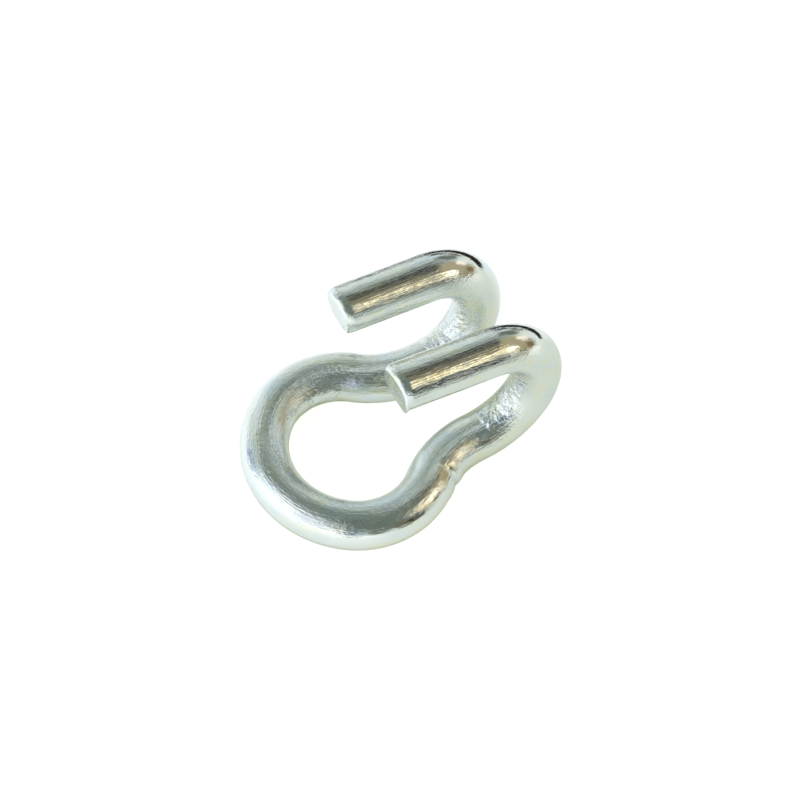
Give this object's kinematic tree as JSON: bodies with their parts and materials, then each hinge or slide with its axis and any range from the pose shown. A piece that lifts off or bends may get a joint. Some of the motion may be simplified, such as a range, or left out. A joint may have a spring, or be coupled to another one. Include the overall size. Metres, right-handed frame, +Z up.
{
  "type": "bent wire u-hook",
  "caption": "Hook bent from round wire: a keyhole eye whose ends run on side by side and turn back over it as open hooks.",
  "frame": {"origin": "centre of the bounding box's base, on the surface that the wire lies on", "axes": "+X from the eye towards the bends of the hooks, +Y towards the far hook, +Z up through the eye towards the arms of the hooks"},
  "size_m": [0.0322, 0.0234, 0.0208],
  "materials": {
    "zinc_wire": "bright zinc plated steel wire, smooth and slightly rippled, with a faint yellow and blue cast"
  },
  "bodies": {
    "root": {"hook": "zinc_wire"}
  },
  "joints": []
}
